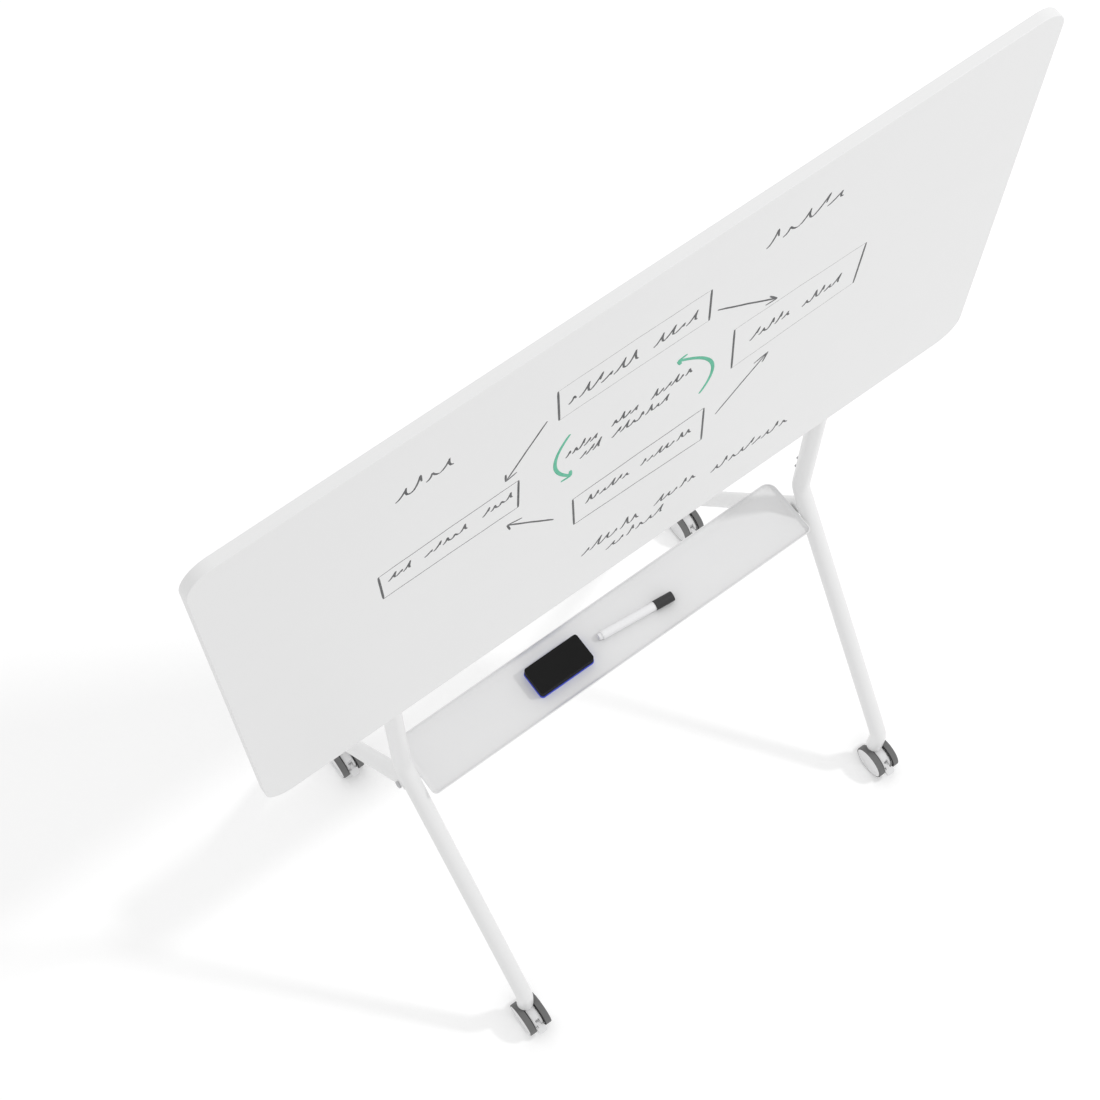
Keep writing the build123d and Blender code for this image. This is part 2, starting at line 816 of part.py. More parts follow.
write("eraser_felt", eraser_felt())
write("eraser_block", eraser_block())
write("marker_barrel", marker_barrel())
write("marker_plug", marker_plug())
write("marker_nib", marker_nib())
write("marker_cap", marker_cap())
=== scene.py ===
import math

import bmesh
import bpy
from mathutils import Matrix, Vector


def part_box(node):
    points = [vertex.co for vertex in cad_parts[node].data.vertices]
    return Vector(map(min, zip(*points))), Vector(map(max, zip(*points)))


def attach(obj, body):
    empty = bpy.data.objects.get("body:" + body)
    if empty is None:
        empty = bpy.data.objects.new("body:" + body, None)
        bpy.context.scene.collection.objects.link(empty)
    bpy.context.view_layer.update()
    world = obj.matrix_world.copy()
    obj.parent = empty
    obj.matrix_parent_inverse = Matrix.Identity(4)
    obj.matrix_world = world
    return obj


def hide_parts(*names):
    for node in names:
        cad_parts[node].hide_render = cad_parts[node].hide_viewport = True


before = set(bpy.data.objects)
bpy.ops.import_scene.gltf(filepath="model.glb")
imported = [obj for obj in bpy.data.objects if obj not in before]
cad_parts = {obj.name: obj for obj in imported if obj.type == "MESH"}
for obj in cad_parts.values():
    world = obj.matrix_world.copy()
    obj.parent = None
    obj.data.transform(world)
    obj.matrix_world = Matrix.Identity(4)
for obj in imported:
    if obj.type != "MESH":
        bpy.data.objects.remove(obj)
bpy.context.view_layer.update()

# Writing panel
# A board 1.2 m by 0.8 m and 15 mm thick: enamelled steel sheets glued to a light core, closed all
# round by a narrow edge band. The face is smooth and a little glossy, the band satin.

panel_low, panel_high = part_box("panel_edge_band")
panel_front = panel_low.y
PANEL_WHITE = (0.775, 0.775, 0.775, 1)
PANEL_ROUGHNESS = 0.32
EDGE_WHITE = (0.79, 0.79, 0.79, 1)


def fine_grain_group():
    """Shared effect: a fine uneven skin, as a normal, and a roughness that wanders a little."""
    group = bpy.data.node_groups.new("fine grain", "ShaderNodeTree")
    for name, value in (("Scale", 400.0), ("Depth", 0.02), ("Roughness", 0.4), ("Spread", 0.05)):
        socket = group.interface.new_socket(name, in_out="INPUT", socket_type="NodeSocketFloat")
        socket.default_value = value
    group.interface.new_socket("Normal", in_out="OUTPUT", socket_type="NodeSocketVector")
    group.interface.new_socket("Roughness", in_out="OUTPUT", socket_type="NodeSocketFloat")
    nodes, links = group.nodes, group.links
    given = nodes.new("NodeGroupInput")
    result = nodes.new("NodeGroupOutput")
    place = nodes.new("ShaderNodeTexCoord")
    fine = nodes.new("ShaderNodeTexNoise")
    fine.inputs["Detail"].default_value = 3.0
    broad = nodes.new("ShaderNodeTexNoise")
    broad.inputs["Scale"].default_value = 9.0
    bump = nodes.new("ShaderNodeBump")
    bump.inputs["Distance"].default_value = 0.0004
    centred = nodes.new("ShaderNodeMath")
    centred.operation = "SUBTRACT"
    centred.inputs[1].default_value = 0.5
    spread = nodes.new("ShaderNodeMath")
    spread.operation = "MULTIPLY_ADD"
    links.new(place.outputs["Object"], fine.inputs["Vector"])
    links.new(place.outputs["Object"], broad.inputs["Vector"])
    links.new(given.outputs["Scale"], fine.inputs["Scale"])
    links.new(given.outputs["Depth"], bump.inputs["Strength"])
    links.new(fine.outputs["Fac"], bump.inputs["Height"])
    links.new(broad.outputs["Fac"], centred.inputs[0])
    links.new(centred.outputs[0], spread.inputs[0])
    links.new(given.outputs["Spread"], spread.inputs[1])
    links.new(given.outputs["Roughness"], spread.inputs[2])
    links.new(bump.outputs["Normal"], result.inputs["Normal"])
    links.new(spread.outputs[0], result.inputs["Roughness"])
    return group


fine_grain = fine_grain_group()


def finish_material(name, colour, grain, metallic=0.0, coat=0.0, tint=0.03, gloss=0.5):
    """Material with the fine grain: colour that clouds slightly, and grain's four values."""
    material = bpy.data.materials.new(name)
    material.use_nodes = True
    nodes, links = material.node_tree.nodes, material.node_tree.links
    shader = nodes["Principled BSDF"]
    shader.inputs["Metallic"].default_value = metallic
    shader.inputs["Coat Weight"].default_value = coat
    shader.inputs["Specular IOR Level"].default_value = gloss
    skin = nodes.new("ShaderNodeGroup")
    skin.node_tree = fine_grain
    for socket, value in zip(("Scale", "Depth", "Roughness", "Spread"), grain):
        skin.inputs[socket].default_value = value
    links.new(skin.outputs["Normal"], shader.inputs["Normal"])
    links.new(skin.outputs["Roughness"], shader.inputs["Roughness"])
    place = nodes.new("ShaderNodeTexCoord")
    cloud = nodes.new("ShaderNodeTexNoise")
    cloud.inputs["Scale"].default_value = 14.0
    cloud.inputs["Detail"].default_value = 4.0
    shade = nodes.new("ShaderNodeMixRGB")
    shade.inputs["Color1"].default_value = [c * (1 - tint) for c in colour[:3]] + [1]
    shade.inputs["Color2"].default_value = [min(1.0, c * (1 + tint)) for c in colour[:3]] + [1]
    links.new(place.outputs["Object"], cloud.inputs["Vector"])
    links.new(cloud.outputs["Fac"], shade.inputs["Fac"])
    links.new(shade.outputs["Color"], shader.inputs["Base Color"])
    return material


def paint_node(name, material):
    """Give a frame node its finish."""
    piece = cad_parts[name]
    piece.data.materials.clear()
    piece.data.materials.append(material)


panel_enamel = finish_material(
    "panel enamel", PANEL_WHITE, (260.0, 0.05, PANEL_ROUGHNESS, 0.06), tint=0.006
)
edge_white = finish_material("edge band white", EDGE_WHITE, (500.0, 0.08, 0.42, 0.05), tint=0.01)
core_board = finish_material("core board", (0.55, 0.42, 0.28, 1), (300.0, 0.3, 0.8, 0.1), tint=0.2)
paint_node("panel_front_sheet", panel_enamel)
paint_node("panel_back_sheet", panel_enamel)
paint_node("panel_edge_band", edge_white)
paint_node("panel_core", core_board)

# Pen drawing on the panel
# A flow chart in dry-erase ink: four boxes joined by arrows, two green arrows that turn round the
# middle, and scribbles where notes stand. The ink is a film that stands a hair off the face.

INK_FILM = 0.00016
BOLD_LINE = 0.0033
FINE_LINE = 0.0011
SCRIBBLE_LINE = 0.0033
GREEN_LINE = 0.0054
LINE_END = 0.7
WOBBLE_SHARE = 0.3
WOBBLE_WAVES = 5
SCRIBBLE_TALLER = 1.1
STROKE_STEPS = 9
STROKE_HEIGHT = 0.70
STROKE_UNEVEN = 0.30
STROKE_LEAN = 0.30
STROKE_HOOK = 0.17
HOOK_SWAY = 0.8
UNEVEN_BEATS = (2.3, 2.1)
LIFT_BEATS = (1.3, 1.9)
LIFT_ABOVE = 0.1
PEN_LIFTED_AT = 0.78


def ink_material(name, colour, pale):
    """Dry ink: denser and thinner in streaks along the strokes."""
    material = finish_material(name, colour, (900.0, 0.1, 0.5, 0.1), tint=0.0)
    nodes, links = material.node_tree.nodes, material.node_tree.links
    place = nodes.new("ShaderNodeTexCoord")
    streaks = nodes.new("ShaderNodeTexNoise")
    streaks.inputs["Scale"].default_value = 130.0
    streaks.inputs["Detail"].default_value = 5.0
    density = nodes.new("ShaderNodeValToRGB")
    density.color_ramp.elements[0].position = 0.35
    density.color_ramp.elements[0].color = colour
    density.color_ramp.elements[1].position = 0.75
    density.color_ramp.elements[1].color = pale
    links.new(place.outputs["Object"], streaks.inputs["Vector"])
    links.new(streaks.outputs["Fac"], density.inputs["Fac"])
    links.new(density.outputs["Color"], nodes["Principled BSDF"].inputs["Base Color"])
    return material


def straight(start, end, bow=0.0015, steps=8):
    """Hand-drawn line between two points of the face, bowed a little."""
    line = []
    for step in range(steps + 1):
        t = step / steps
        sag = bow * math.sin(math.pi * t)
        sag += WOBBLE_SHARE * bow * math.sin(WOBBLE_WAVES * math.pi * t)
        line.append((start[0] + (end[0] - start[0]) * t, start[1] + (end[1] - start[1]) * t + sag))
    return line


def swung(start, middle, end, steps=18):
    """Curved line from start to end that passes through middle."""
    line = []
    pull = [2 * middle[i] - 0.5 * (start[i] + end[i]) for i in (0, 1)]
    for step in range(steps + 1):
        t = step / steps
        line.append(
            tuple(
                (1 - t) ** 2 * start[i] + 2 * t * (1 - t) * pull[i] + t * t * end[i]
                for i in (0, 1)
            )
        )
    return line


def scribble(start, length, height, peaks, rise, beat):
    """Pen strokes that stand for a written word: uneven hooks, the pen lifted here and there."""
    lines = [[]]
    for peak in range(peaks):
        uneven = math.sin(UNEVEN_BEATS[0] * beat + UNEVEN_BEATS[1] * peak)
        tall = STROKE_HEIGHT + STROKE_UNEVEN * uneven
        lift = math.sin(LIFT_BEATS[0] * beat + LIFT_BEATS[1] * peak)
        lifted = peak < peaks - 1 and lift > LIFT_ABOVE
        for step in range(STROKE_STEPS + 1):
            part = step / STROKE_STEPS * (PEN_LIFTED_AT if lifted else 1.0)
            turn = 2 * math.pi * part
            up = 0.5 * tall * (1 - math.cos(turn))
            hook = STROKE_HOOK * math.sin(turn + HOOK_SWAY * math.sin(beat + peak))
            across = (peak + part + hook) / peaks
            x = start[0] + length * across + STROKE_LEAN * height * up
            lines[-1].append((x, start[1] + rise * across + height * up))
        if lifted:
            lines.append([])
    return lines


def mesh_of_curve(name, curve):
    """Mesh of a bevelled curve."""
    holder = bpy.data.objects.new(name, curve)
    bpy.context.scene.collection.objects.link(holder)
    mesh = bpy.data.meshes.new_from_object(holder)
    bpy.data.objects.remove(holder)
    return mesh


def new_piece(name, mesh, material, smooth=False):
    """Object of a finished mesh at the origin, in its material."""
    piece = bpy.data.objects.new(name, mesh)
    bpy.context.scene.collection.objects.link(piece)
    mesh.materials.append(material)
    if smooth:
        for face in mesh.polygons:
            face.use_smooth = True
    return piece


def draw(name, strokes, material):
    """Make one ink object of many strokes, each a width and a line of (x, z) points."""
    outline = bpy.data.curves.new(name, "CURVE")
    outline.dimensions = "3D"
    outline.bevel_depth = 0.5
    outline.bevel_resolution = 2
    outline.use_fill_caps = True
    for width, line in strokes:
        spline = outline.splines.new("POLY")
        spline.points.add(len(line) - 1)
        for index, (x, z) in enumerate(line):
            ends = min(index, len(line) - 1 - index)
            spline.points[index].co = (x, 0, z, 1)
            spline.points[index].radius = width * (LINE_END if ends == 0 else 1.0)
    mesh = mesh_of_curve(name, outline)
    film = bmesh.new()
    film.from_mesh(mesh)
    flatten = INK_FILM / BOLD_LINE
    bmesh.ops.scale(film, vec=(1, flatten, 1), verts=film.verts)
    bmesh.ops.translate(film, vec=(0, panel_front, 0), verts=film.verts)
    film.to_mesh(mesh)
    film.free()
    piece = new_piece(name, mesh, material, smooth=True)
    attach(piece, "frame")


chart_boxes = [
    ((-0.124, 1.668), (0.093, 1.668), (0.095, 1.591), (-0.122, 1.591)),
    ((0.140, 1.516), (0.345, 1.513), (0.339, 1.417), (0.145, 1.407)),
    ((-0.382, 1.491), (-0.181, 1.500), (-0.183, 1.423), (-0.380, 1.420)),
    ((-0.100, 1.331), (0.107, 1.339), (0.110, 1.240), (-0.097, 1.246)),
]
box_rail_widths = [FINE_LINE, FINE_LINE, 0.0018, 0.0020]
dark_strokes = []
faint_strokes = []
for corners, rail_width in zip(chart_boxes, box_rail_widths):
    top_left, top_right, bottom_right, bottom_left = corners
    rails = faint_strokes if rail_width == FINE_LINE else dark_strokes
    rails.append((rail_width, straight(top_left, top_right)))
    rails.append((rail_width, straight(bottom_left, bottom_right, bow=0.001)))
    dark_strokes.append((BOLD_LINE, straight(top_left, bottom_left, bow=0)))
    dark_strokes.append((BOLD_LINE, straight(top_right, bottom_right, bow=0)))

chart_arrows = [
    ((-0.139, 1.610), (-0.199, 1.521), (-0.199, 1.540), (-0.183, 1.527)),
    ((0.107, 1.603), (0.204, 1.525), (0.191, 1.544), (0.186, 1.527)),
    ((-0.130, 1.309), (-0.200, 1.390), (-0.196, 1.371), (-0.178, 1.382)),
    ((0.129, 1.294), (0.206, 1.381), (0.184, 1.374), (0.199, 1.361)),
]
for tail, tip, first_barb, second_barb in chart_arrows:
    dark_strokes.append((BOLD_LINE, straight(tail, tip, bow=0.001)))
    dark_strokes.append((BOLD_LINE, straight(first_barb, tip, bow=0, steps=3)))
    dark_strokes.append((BOLD_LINE, straight(second_barb, tip, bow=0, steps=3)))

notes = [
    ((-0.345, 1.659), 0.078, 0.026, 4, 0.003),
    ((0.168, 1.680), 0.117, 0.028, 5, 0.008),
    ((-0.111, 1.617), 0.100, 0.026, 6, 0.0),
    ((0.012, 1.617), 0.064, 0.023, 4, 0.0),
    ((-0.369, 1.461), 0.031, 0.018, 3, 0.0),
    ((-0.317, 1.460), 0.060, 0.015, 5, 0.002),
    ((-0.234, 1.463), 0.043, 0.014, 4, 0.002),
    ((-0.113, 1.473), 0.048, 0.018, 5, 0.0),
    ((-0.045, 1.475), 0.041, 0.017, 4, 0.0),
    ((0.015, 1.476), 0.062, 0.017, 6, 0.002),
    ((-0.090, 1.443), 0.029, 0.021, 3, 0.0),
    ((-0.041, 1.441), 0.085, 0.018, 7, 0.001),
    ((0.170, 1.453), 0.062, 0.022, 5, 0.001),
    ((0.251, 1.450), 0.060, 0.020, 5, 0.002),
    ((-0.081, 1.290), 0.071, 0.018, 6, 0.0),
    ((0.007, 1.291), 0.081, 0.016, 7, 0.0),
    ((-0.083, 1.116), 0.094, 0.024, 6, 0.002),
    ((0.040, 1.118), 0.068, 0.018, 5, 0.003),
    ((-0.040, 1.077), 0.095, 0.020, 6, 0.003),
    ((0.137, 1.096), 0.133, 0.020, 9, -0.002),
]
for beat, (start, length, height, peaks, rise) in enumerate(notes):
    strokes = scribble(start, length, SCRIBBLE_TALLER * height, peaks, rise, beat)
    dark_strokes += [(SCRIBBLE_LINE, line) for line in strokes]

green_strokes = [
    (GREEN_LINE, swung((-0.106, 1.533), (-0.128, 1.471), (-0.104, 1.411))),
    (GREEN_LINE, straight((-0.119, 1.412), (-0.104, 1.410), bow=0, steps=3)),
    (GREEN_LINE, straight((-0.105, 1.427), (-0.104, 1.410), bow=0, steps=3)),
    (GREEN_LINE, swung((0.095, 1.396), (0.109, 1.466), (0.053, 1.535), steps=24)),
    (GREEN_LINE, straight((0.067, 1.537), (0.053, 1.535), bow=0, steps=3)),
    (GREEN_LINE, straight((0.058, 1.521), (0.053, 1.535), bow=0, steps=3)),
]
dark_ink = ink_material("dark ink", (0.030, 0.032, 0.034, 1), (0.11, 0.11, 0.115, 1))
faint_ink = ink_material("faint ink", (0.20, 0.20, 0.20, 1), (0.42, 0.42, 0.42, 1))
green_ink = ink_material("green ink", (0.050, 0.42, 0.25, 1), (0.10, 0.52, 0.34, 1))
draw("dark_ink_lines", dark_strokes, dark_ink)
draw("faint_ink_lines", faint_strokes, faint_ink)
draw("green_ink_arrows", green_strokes, green_ink)

# Posts and legs
# Round steel tube, bent cold and powder coated white: a post and a front leg on each side, and a
# rear leg coped to the front leg.

FRAME_WHITE = (0.80, 0.80, 0.80, 1)
powder_coat = finish_material(
    "white powder coat", FRAME_WHITE, (620.0, 0.22, 0.38, 0.06), tint=0.008
)
for side in ("left", "right"):
    for piece_name in ("post_", "front_leg_", "rear_leg_"):
        paint_node(piece_name + side, powder_coat)

# Leg welds
# Each rear leg is welded to its front leg all round the cope, and the rippled bead is painted over
# with the frame.

TUBE_RADIUS = 0.01425
BEAD_RADIUS = 0.0017
JOINT_PLACE = (0.383, 0.019467, 0.6115)
REAR_AXIS = Vector((0, 0.4962, -0.8682))
REAR_NORMAL = Vector((0, 0.8682, 0.4962))
FRONT_NORMAL = Vector((0, 0.8689, -0.4950))
BEAD_POINTS = 96
BEAD_RIPPLES = 24
RIPPLE_SHARE = 0.14

weld_coat = finish_material("painted weld", FRAME_WHITE, (900.0, 0.6, 0.45, 0.08), tint=0.02)
for side, hand in (("left", -1), ("right", 1)):
    bead = bpy.data.curves.new("weld " + side, "CURVE")
    bead.dimensions = "3D"
    bead.bevel_depth = BEAD_RADIUS
    bead.bevel_resolution = 3
    ring = bead.splines.new("POLY")
    ring.points.add(BEAD_POINTS - 1)
    ring.use_cyclic_u = True
    for index, point in enumerate(ring.points):
        turn = 2 * math.pi * index / BEAD_POINTS
        height = TUBE_RADIUS * math.sin(turn)
        along = abs(height) - height * REAR_NORMAL.dot(FRONT_NORMAL)
        along /= REAR_AXIS.dot(FRONT_NORMAL)
        bead_x = hand * JOINT_PLACE[0] + TUBE_RADIUS * math.cos(turn)
        spot = Vector((bead_x, JOINT_PLACE[1], JOINT_PLACE[2]))
        spot += REAR_AXIS * along + REAR_NORMAL * height
        point.co = (*spot, 1)
        point.radius = 1.0 + RIPPLE_SHARE * math.sin(BEAD_RIPPLES * turn)
    weld_mesh = mesh_of_curve("weld " + side, bead)
    weld = new_piece("leg_weld_" + side, weld_mesh, weld_coat, smooth=True)
    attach(weld, "frame")

# Tube fittings
# An inner sleeve joins post and leg, held by two socket-head screws; a moulded plug closes each
# post's top.

bright_steel = finish_material(
    "bright steel", (0.56, 0.56, 0.57, 1), (300.0, 0.1, 0.3, 0.1), metallic=1.0, tint=0.05
)
grey_zinc = finish_material(
    "grey zinc", (0.32, 0.32, 0.33, 1), (500.0, 0.2, 0.42, 0.1), metallic=0.7, tint=0.1
)
white_plastic = finish_material(
    "white moulded plastic", (0.76, 0.76, 0.765, 1), (700.0, 0.12, 0.45, 0.05), tint=0.01
)
paint_node("post_spigots", bright_steel)
paint_node("post_screws", grey_zinc)
paint_node("post_caps", white_plastic)

# Panel clamps
# Bent steel straps round the posts, each over a moulded saddle block and screwed to the panel.

paint_node("panel_clamps", powder_coat)
paint_node("clamp_saddles", white_plastic)
paint_node("clamp_screws", grey_zinc)

# Shelf
# A shallow pressed steel tray with a rim curved up all round, powder coated, on a bent hanger at
# each end that is bolted through the rear leg.

shelf_coat = finish_material(
    "shelf powder coat", (0.757, 0.757, 0.760, 1), (620.0, 0.22, 0.40, 0.06), tint=0.008
)
paint_node("shelf", shelf_coat)
paint_node("shelf_rim", shelf_coat)
for side in ("left", "right"):
    paint_node("shelf_hanger_" + side, shelf_coat)
pale_zinc = finish_material(
    "pale zinc", (0.50, 0.50, 0.51, 1), (500.0, 0.2, 0.45, 0.1), metallic=0.6, tint=0.08
)
paint_node("knee_bolts", pale_zinc)
paint_node("knee_nuts", pale_zinc)

# Casters
# Twin wheels beside a moulded hood that turns on a steel stem, with a brake pedal in front. The
# rubber's inner shoulder is painted black to stand for the shaded gap beside the hood, which is
# wider on the real caster than here.

CASTER_PLACES = ("front_left", "front_right", "rear_left", "rear_right")
GAP_SHADE_WIDTH = 0.0015
GAP_SHADE_SOFTNESS = 0.2
GAP_SHADE = (0.006, 0.006, 0.006, 1)

tyre_rubber = finish_material(
    "grey tyre rubber", (0.14, 0.14, 0.14, 1), (900.0, 0.35, 0.7, 0.08), tint=0.08
)
hood_low, hood_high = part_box("front_right_hood")
caster_x = (hood_low.x + hood_high.x) / 2
inner_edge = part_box("front_right_tyre_right")[0].x - caster_x
tyre_nodes, tyre_links = tyre_rubber.node_tree.nodes, tyre_rubber.node_tree.links
tyre_shader = tyre_nodes["Principled BSDF"]
plain_rubber = tyre_shader.inputs["Base Color"].links[0].from_socket
tyre_place = tyre_nodes.new("ShaderNodeTexCoord")
tyre_axes = tyre_nodes.new("ShaderNodeSeparateXYZ")
tyre_links.new(tyre_place.outputs["Object"], tyre_axes.inputs[0])
across = tyre_axes.outputs["X"]
for operation, amount in (("ABSOLUTE", 0.0), ("SUBTRACT", caster_x), ("ABSOLUTE", 0.0)):
    measure = tyre_nodes.new("ShaderNodeMath")
    measure.operation = operation
    measure.inputs[1].default_value = amount
    tyre_links.new(across, measure.inputs[0])
    across = measure.outputs[0]
lit_part = tyre_nodes.new("ShaderNodeMapRange")
shade_start = (1 - GAP_SHADE_SOFTNESS) * GAP_SHADE_WIDTH
shade_end = (1 + GAP_SHADE_SOFTNESS) * GAP_SHADE_WIDTH
lit_part.inputs["From Min"].default_value = inner_edge + shade_start
lit_part.inputs["From Max"].default_value = inner_edge + shade_end
gap_shade = tyre_nodes.new("ShaderNodeMixRGB")
gap_shade.inputs["Color1"].default_value = GAP_SHADE
tyre_links.new(across, lit_part.inputs["Value"])
tyre_links.new(lit_part.outputs["Result"], gap_shade.inputs["Fac"])
tyre_links.new(plain_rubber, gap_shade.inputs["Color2"])
tyre_links.new(gap_shade.outputs["Color"], tyre_shader.inputs["Base Color"])
hub_plastic = finish_material(
    "white hub plastic", (0.78, 0.78, 0.785, 1), (700.0, 0.12, 0.4, 0.05), tint=0.015
)
paint_node("leg_sockets", white_plastic)
paint_node("caster_stems", bright_steel)
for place in CASTER_PLACES:
    paint_node(place + "_hood", white_plastic)
    paint_node(place + "_brake_pedal", white_plastic)
    paint_node(place + "_axle", bright_steel)
    for side in ("left", "right"):
        paint_node(place + "_hub_" + side, hub_plastic)
        paint_node(place + "_tyre_" + side, tyre_rubber)

# Hub lips
# A thin raised lip round each hub's moulded face. It is a guess, from how little rubber shows at
# the side of the front left caster.

LIP_PROFILE = [
    (-0.0008, 0.0266), (0.0, 0.0266), (0.0002, 0.0268), (0.0002, 0.0285), (0.0, 0.0288),
    (-0.0008, 0.0288),
]
LIP_STEPS = 72
SEAM_GAP = 0.00001

for place in CASTER_PLACES:
    for side, outward in (("left", -1), ("right", 1)):
        tyre_low, tyre_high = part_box(place + "_tyre_" + side)
        wheel_middle = (tyre_low + tyre_high) / 2
        outer_x = tyre_low.x if outward < 0 else tyre_high.x
        lip = bmesh.new()
        section = [
            lip.verts.new((outer_x + outward * out, wheel_middle.y, wheel_middle.z + radius))
            for out, radius in LIP_PROFILE
        ]
        for first, second in zip(section, section[1:] + section[:1]):
            lip.edges.new((first, second))
        bmesh.ops.spin(
            lip, geom=lip.verts[:] + lip.edges[:], cent=(outer_x, wheel_middle.y, wheel_middle.z),
            axis=(1, 0, 0), dvec=(0, 0, 0), angle=2 * math.pi, steps=LIP_STEPS,
            use_merge=True, use_duplicate=False,
        )
        bmesh.ops.remove_doubles(lip, verts=lip.verts, dist=SEAM_GAP)
        bmesh.ops.recalc_face_normals(lip, faces=lip.faces)
        lip_mesh = bpy.data.meshes.new("hub lip")
        lip.to_mesh(lip_mesh)
        lip.free()
        lip_piece = new_piece(place + "_hub_lip_" + side, lip_mesh, hub_plastic)
        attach(lip_piece, place + "_wheel_" + side)

# Board eraser
# A black moulded block with a blue felt pad glued under it.

eraser_black = finish_material(
    "eraser plastic", (0.009, 0.009, 0.009, 1), (800.0, 0.3, 0.7, 0.08), tint=0.1, gloss=0.12
)
blue_felt = finish_material(
    "blue felt", (0.085, 0.115, 0.64, 1), (1500.0, 0.8, 0.95, 0.05), tint=0.12, gloss=0.1
)
paint_node("eraser_block", eraser_black)
paint_node("eraser_felt", blue_felt)

# Marker pen
# A white moulded barrel with a ribbed stopper, a felt nib and a black cap. The stopper here is a
# turned form with grooves between its ribs, and stands for the plain node.

marker_white = finish_material(
    "marker plastic", (0.83, 0.83, 0.84, 1), (500.0, 0.05, 0.3, 0.04), coat=0.2, tint=0.006
)
paint_node("marker_barrel", marker_white)

MARKER_END = Vector((-0.015, 0.0399, 0.602151))
MARKER_TILT = math.atan2(1.3, 102.6)
MARKER_YAW = math.radians(-5.9)
PLUG_PROFILE = [
    (0.0004, 0.0), (0.0004, 0.0036), (0.0, 0.0042), (0.0, 0.0050), (0.0007, 0.0056),
    (0.0056, 0.0056), (0.0060, 0.0060), (0.0060, 0.0066), (0.0064, 0.0070), (0.0079, 0.0070),
    (0.0079, 0.0056), (0.0120, 0.0056), (0.0120, 0.0),
]
PLUG_RIBS = 16
RIBBED_PART = (0.001, 0.0055)
RIBBED_RADIUS = 0.005
GROOVE_MARGIN = 0.00018
GROOVE_DEPTH = 0.0005

stopper = bmesh.new()
chain = [stopper.verts.new((along, 0, radius)) for along, radius in PLUG_PROFILE]
for first, second in zip(chain, chain[1:]):
    stopper.edges.new((first, second))
bmesh.ops.spin(
    stopper, geom=stopper.verts[:] + stopper.edges[:], cent=(0, 0, 0), axis=(1, 0, 0),
    dvec=(0, 0, 0), angle=2 * math.pi, steps=2 * PLUG_RIBS,
    use_merge=True, use_duplicate=False,
)
bmesh.ops.remove_doubles(stopper, verts=stopper.verts, dist=SEAM_GAP)
bmesh.ops.recalc_face_normals(stopper, faces=stopper.faces)
grooves = []
for face in stopper.faces:
    middle = face.calc_center_median()
    sector = round(math.atan2(middle.y, middle.z) / (math.pi / PLUG_RIBS) - 0.5)
    outside = math.hypot(middle.y, middle.z) > RIBBED_RADIUS
    if RIBBED_PART[0] < middle.x < RIBBED_PART[1] and outside and sector % 2 == 0:
        grooves.append(face)
bmesh.ops.inset_individual(
    stopper, faces=grooves, thickness=GROOVE_MARGIN, depth=-GROOVE_DEPTH
)
marker_turn = Matrix.Rotation(MARKER_YAW, 4, "Z") @ Matrix.Rotation(-MARKER_TILT, 4, "Y")
to_marker = Matrix.Translation(MARKER_END) @ marker_turn
bmesh.ops.transform(stopper, matrix=to_marker, verts=stopper.verts)
plug_mesh = bpy.data.meshes.new("ribbed marker plug")
stopper.to_mesh(plug_mesh)
stopper.free()
ribbed_plug = new_piece("ribbed_marker_plug", plug_mesh, marker_white)
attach(ribbed_plug, "marker")
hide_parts("marker_plug")
nib_felt = finish_material(
    "nib felt", (0.03, 0.03, 0.03, 1), (2000.0, 0.6, 0.9, 0.05), tint=0.1
)
cap_black = finish_material(
    "cap plastic", (0.028, 0.028, 0.029, 1), (700.0, 0.15, 0.45, 0.06), tint=0.05, gloss=0.4
)
paint_node("marker_nib", nib_felt)
paint_node("marker_cap", cap_black)

# Floor, light and camera
# A plain pale floor under an even white sky, with one soft lamp high up at the right in front. The
# camera sees floor and sky paler than they light the object, and the floor keeps its shadows.

FLOOR_SIZE = 30.0
FLOOR_WHITE = (0.92, 0.92, 0.92, 1)
FLOOR_SEEN = (1.0, 1.0, 1.0, 1)
FLOOR_LIFT = 0.07
SKY_STRENGTH = 0.865
SKY_SEEN = 0.945
LAMP_PLACE = Vector((3.83, -1.78, 5.60))
LAMP_AIM = Vector((0.0, 0.0, 0.9))
LAMP_DIAMETER = 0.55
LAMP_POWER = 88.0


def seen_rays(nodes, links):
    """Mask of the rays that show the background: the camera's, and those off gloss or glass."""
    rays = nodes.new("ShaderNodeLightPath")
    mask = rays.outputs["Is Camera Ray"]
    for other in ("Is Glossy Ray", "Is Transmission Ray"):
        larger = nodes.new("ShaderNodeMath")
        larger.operation = "MAXIMUM"
        links.new(mask, larger.inputs[0])
        links.new(rays.outputs[other], larger.inputs[1])
        mask = larger.outputs[0]
    return mask


ground = bmesh.new()
bmesh.ops.create_grid(ground, x_segments=1, y_segments=1, size=FLOOR_SIZE / 2)
floor_mesh = bpy.data.meshes.new("floor")
ground.to_mesh(floor_mesh)
ground.free()
floor = bpy.data.objects.new("floor", floor_mesh)
bpy.context.scene.collection.objects.link(floor)
floor_material = bpy.data.materials.new("floor")
floor_material.use_nodes = True
floor_nodes, floor_links = floor_material.node_tree.nodes, floor_material.node_tree.links
floor_nodes.clear()
floor_seen = seen_rays(floor_nodes, floor_links)
floor_shade = floor_nodes.new("ShaderNodeMixRGB")
floor_shade.inputs["Color1"].default_value = FLOOR_WHITE
floor_shade.inputs["Color2"].default_value = FLOOR_SEEN
floor_paint = floor_nodes.new("ShaderNodeBsdfDiffuse")
floor_lift = floor_nodes.new("ShaderNodeEmission")
lift = floor_nodes.new("ShaderNodeMath")
lift.operation = "MULTIPLY"
lift.inputs[1].default_value = FLOOR_LIFT
both = floor_nodes.new("ShaderNodeAddShader")
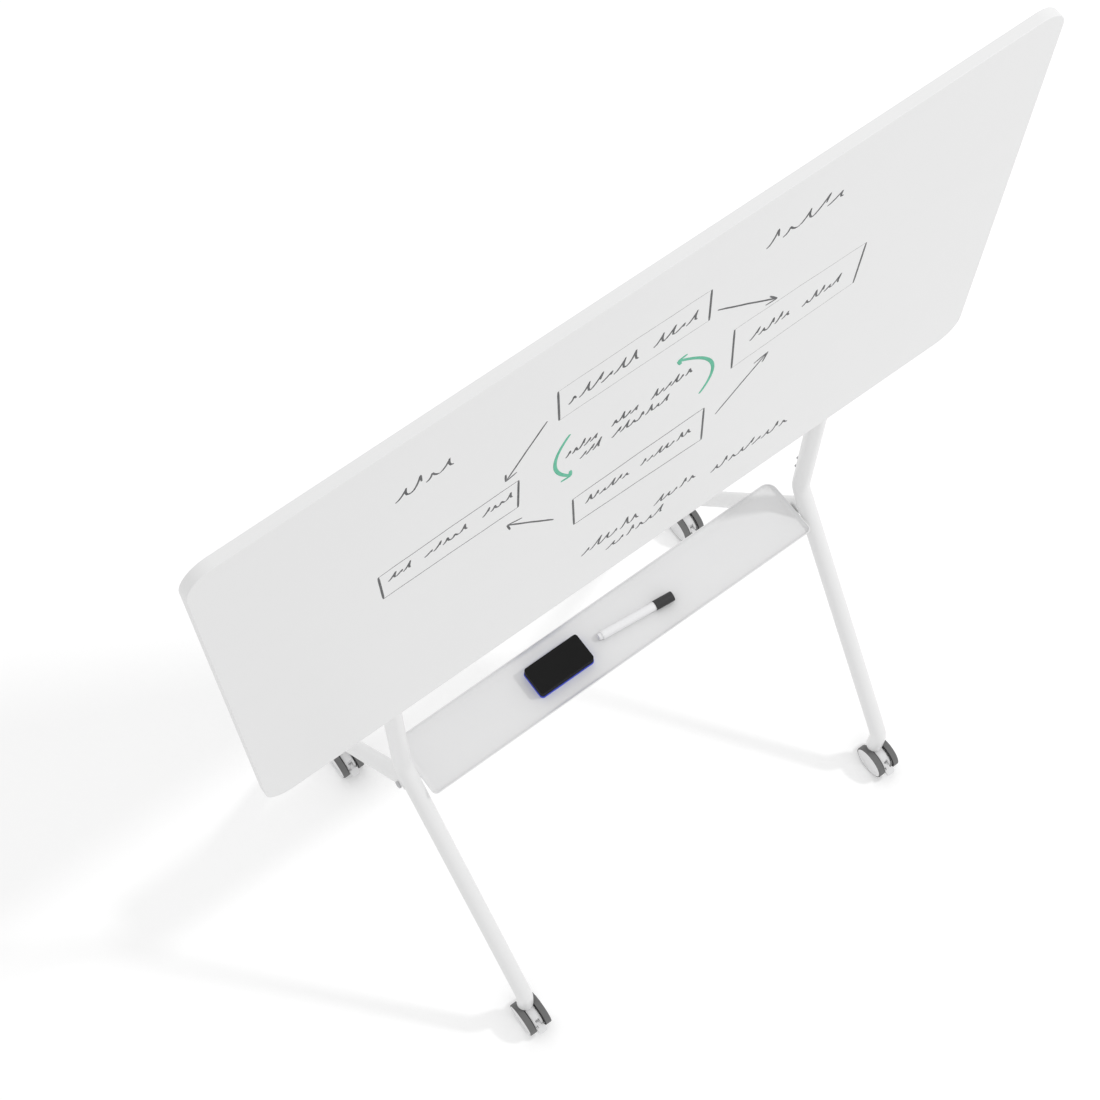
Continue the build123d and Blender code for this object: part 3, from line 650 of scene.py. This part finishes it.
surface = floor_nodes.new("ShaderNodeOutputMaterial")
floor_links.new(floor_seen, floor_shade.inputs["Fac"])
floor_links.new(floor_shade.outputs["Color"], floor_paint.inputs["Color"])
floor_links.new(floor_seen, lift.inputs[0])
floor_links.new(lift.outputs[0], floor_lift.inputs["Strength"])
floor_links.new(floor_paint.outputs[0], both.inputs[0])
floor_links.new(floor_lift.outputs[0], both.inputs[1])
floor_links.new(both.outputs[0], surface.inputs["Surface"])
floor.data.materials.append(floor_material)

sky = bpy.data.worlds.new("sky")
bpy.context.scene.world = sky
sky.use_nodes = True
sky_shade = sky.node_tree.nodes["Background"]
sky_shade.inputs["Color"].default_value = (1, 1, 1, 1)
seen = sky.node_tree.nodes.new("ShaderNodeMath")
seen.operation = "MULTIPLY_ADD"
seen.inputs[1].default_value = SKY_SEEN - SKY_STRENGTH
seen.inputs[2].default_value = SKY_STRENGTH
sky.node_tree.links.new(seen_rays(sky.node_tree.nodes, sky.node_tree.links), seen.inputs[0])
sky.node_tree.links.new(seen.outputs[0], sky_shade.inputs["Strength"])

lamp_light = bpy.data.lights.new("soft lamp", "AREA")
lamp_light.shape = "DISK"
lamp_light.size = LAMP_DIAMETER
lamp_light.energy = LAMP_POWER
lamp = bpy.data.objects.new("soft lamp", lamp_light)
lamp.location = LAMP_PLACE
lamp.rotation_euler = (LAMP_PLACE - LAMP_AIM).to_track_quat("Z", "Y").to_euler()
bpy.context.scene.collection.objects.link(lamp)

CAMERA_PLACE = Vector((-0.7910, -0.8863, 3.9583))
CAMERA_AZIMUTH = math.radians(36.375)
CAMERA_DIP = math.radians(66.675)
LENS_SHARE = 2288.0 / 1100
AXIS_SHIFT = -0.05

camera_data = bpy.data.cameras.new("camera")
camera_data.sensor_width = 36.0
camera_data.lens = 36.0 * LENS_SHARE
camera_data.shift_y = AXIS_SHIFT
camera = bpy.data.objects.new("camera", camera_data)
camera.location = CAMERA_PLACE
looking = Vector(
    (
        math.sin(CAMERA_AZIMUTH) * math.cos(CAMERA_DIP),
        math.cos(CAMERA_AZIMUTH) * math.cos(CAMERA_DIP),
        -math.sin(CAMERA_DIP),
    )
)
camera.rotation_euler = looking.to_track_quat("-Z", "Y").to_euler()
bpy.context.scene.collection.objects.link(camera)
bpy.context.scene.camera = camera
bpy.context.scene.view_settings.view_transform = "Standard"
